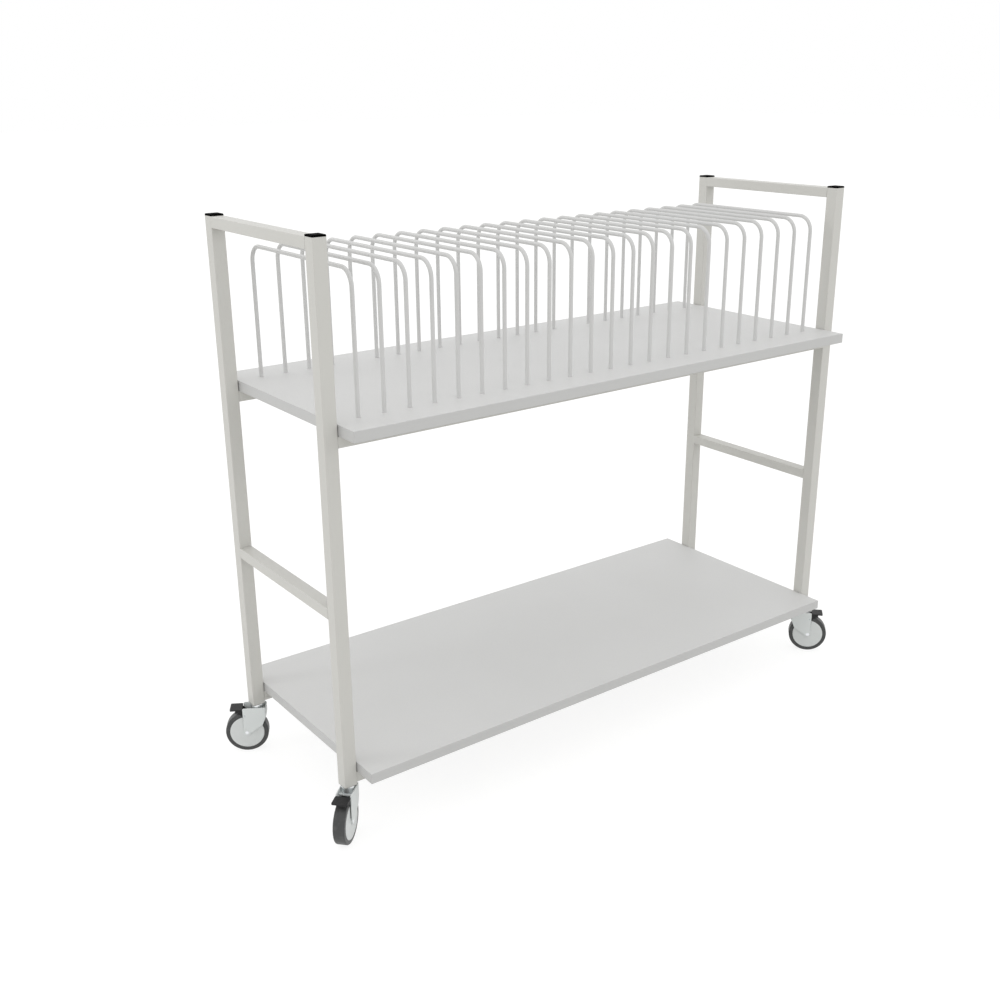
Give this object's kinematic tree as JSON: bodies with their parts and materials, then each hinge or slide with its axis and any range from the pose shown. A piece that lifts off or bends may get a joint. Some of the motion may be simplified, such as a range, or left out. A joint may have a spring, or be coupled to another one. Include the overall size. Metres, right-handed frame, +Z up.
{
  "type": "folder storage rack",
  "caption": "Rolling storage rack with two tube side frames, two shelf boards and a row of round wire dividers on the upper shelf, on swivel casters with brakes.",
  "frame": {"origin": "on the floor under the middle of the rack", "axes": "+X along the shelves, +Y to the back, +Z up; the front is at -Y"},
  "size_m": [1.3468, 0.495, 1.0737],
  "materials": {
    "frame_paint": "fine satin powder coat, light grey",
    "shelf_board": "chipboard faced with matt light grey melamine",
    "shelf_edging": "matt plastic edging strip",
    "wire_paint": "satin powder coat on round wire",
    "screw_zinc": "zinc plated",
    "cap_plastic": "fine grained black polyethylene",
    "socket_plastic": "matt grey nylon",
    "stem_chrome": "bright plated steel",
    "bearing_steel": "zinc plated steel",
    "fork_paint": "satin light bluish grey",
    "axle_steel": "bright plated rivet",
    "wheel_plastic": "smooth light grey polypropylene",
    "tyre_rubber": "matt dark grey rubber",
    "pedal_plastic": "matt black nylon",
    "pin_steel": "zinc plated"
  },
  "bodies": {
    "rack_frame": {"upright_front_left": "frame_paint", "upright_back_left": "frame_paint", "upright_front_right": "frame_paint", "upright_back_right": "frame_paint", "top_rail_left": "frame_paint", "top_rail_right": "frame_paint", "mid_rail_left": "frame_paint", "mid_rail_right": "frame_paint", "upper_beam_front": "frame_paint", "upper_beam_back": "frame_paint", "lower_beam_front": "frame_paint", "lower_beam_back": "frame_paint", "upper_shelf": "shelf_board", "upper_shelf_edging": "shelf_edging", "lower_shelf": "shelf_board", "lower_shelf_edging": "shelf_edging", "wire_dividers": "wire_paint", "shelf_screws": "screw_zinc", "end_cap_front_left": "cap_plastic", "end_cap_back_left": "cap_plastic", "end_cap_front_right": "cap_plastic", "end_cap_back_right": "cap_plastic", "stem_socket_front_left": "socket_plastic", "stem_socket_back_left": "socket_plastic", "stem_socket_front_right": "socket_plastic", "stem_socket_back_right": "socket_plastic", "caster_stem_front_left": "stem_chrome", "caster_stem_back_left": "stem_chrome", "caster_stem_front_right": "stem_chrome", "caster_stem_back_right": "stem_chrome"},
    "caster_front_left": {"caster_fork_front_left": "fork_paint", "wheel_axle_front_left": "axle_steel", "swivel_bearing_front_left": "bearing_steel", "pedal_pins_front_left": "pin_steel"},
    "wheel_front_left": {"wheel_centre_front_left": "wheel_plastic", "tyre_front_left": "tyre_rubber"},
    "pedal_front_left": {"brake_pedal_front_left": "pedal_plastic"},
    "caster_back_left": {"caster_fork_back_left": "fork_paint", "wheel_axle_back_left": "axle_steel", "swivel_bearing_back_left": "bearing_steel", "pedal_pins_back_left": "pin_steel"},
    "wheel_back_left": {"wheel_centre_back_left": "wheel_plastic", "tyre_back_left": "tyre_rubber"},
    "pedal_back_left": {"brake_pedal_back_left": "pedal_plastic"},
    "caster_front_right": {"caster_fork_front_right": "fork_paint", "wheel_axle_front_right": "axle_steel", "swivel_bearing_front_right": "bearing_steel", "pedal_pins_front_right": "pin_steel"},
    "wheel_front_right": {"wheel_centre_front_right": "wheel_plastic", "tyre_front_right": "tyre_rubber"},
    "pedal_front_right": {"brake_pedal_front_right": "pedal_plastic"},
    "caster_back_right": {"caster_fork_back_right": "fork_paint", "wheel_axle_back_right": "axle_steel", "swivel_bearing_back_right": "bearing_steel", "pedal_pins_back_right": "pin_steel"},
    "wheel_back_right": {"wheel_centre_back_right": "wheel_plastic", "tyre_back_right": "tyre_rubber"},
    "pedal_back_right": {"brake_pedal_back_right": "pedal_plastic"}
  },
  "joints": [
    {"name": "swivel_front_left", "type": "hinge", "parent": "rack_frame", "child": "caster_front_left", "pos_m": [-0.6125, -0.185, 0.09115], "axis": [0, 0, 1], "continuous": true},
    {"name": "wheel_spin_front_left", "type": "hinge", "parent": "caster_front_left", "child": "wheel_front_left", "pos_m": [-0.62909, -0.2002, 0.043], "axis": [0.6756, -0.7373, 0], "continuous": true},
    {"name": "brake_front_left", "type": "hinge", "parent": "caster_front_left", "child": "pedal_front_left", "pos_m": [-0.63056, -0.20155, 0.082], "axis": [0.6756, -0.7373, 0], "range_deg": [0, 9]},
    {"name": "swivel_back_left", "type": "hinge", "parent": "rack_frame", "child": "caster_back_left", "pos_m": [-0.6125, 0.185, 0.09115], "axis": [0, 0, 1], "continuous": true},
    {"name": "wheel_spin_back_left", "type": "hinge", "parent": "caster_back_left", "child": "wheel_back_left", "pos_m": [-0.63179, 0.19659, 0.043], "axis": [-0.515, -0.8572, 0], "continuous": true},
    {"name": "brake_back_left", "type": "hinge", "parent": "caster_back_left", "child": "pedal_back_left", "pos_m": [-0.6335, 0.19762, 0.082], "axis": [-0.515, -0.8572, 0], "range_deg": [0, 9]},
    {"name": "swivel_front_right", "type": "hinge", "parent": "rack_frame", "child": "caster_front_right", "pos_m": [0.6125, -0.185, 0.09115], "axis": [0, 0, 1], "continuous": true},
    {"name": "wheel_spin_front_right", "type": "hinge", "parent": "caster_front_right", "child": "wheel_front_right", "pos_m": [0.62784, -0.20145, 0.043], "axis": [0.7314, 0.682, 0], "continuous": true},
    {"name": "brake_front_right", "type": "hinge", "parent": "caster_front_right", "child": "pedal_front_right", "pos_m": [0.62921, -0.20292, 0.082], "axis": [0.7314, 0.682, 0], "range_deg": [0, 9]},
    {"name": "swivel_back_right", "type": "hinge", "parent": "rack_frame", "child": "caster_back_right", "pos_m": [0.6125, 0.185, 0.09115], "axis": [0, 0, 1], "continuous": true},
    {"name": "wheel_spin_back_right", "type": "hinge", "parent": "caster_back_right", "child": "wheel_back_right", "pos_m": [0.63179, 0.19659, 0.043], "axis": [-0.515, 0.8572, 0], "continuous": true},
    {"name": "brake_back_right", "type": "hinge", "parent": "caster_back_right", "child": "pedal_back_right", "pos_m": [0.6335, 0.19762, 0.082], "axis": [-0.515, 0.8572, 0], "range_deg": [0, 9]}
  ]
}
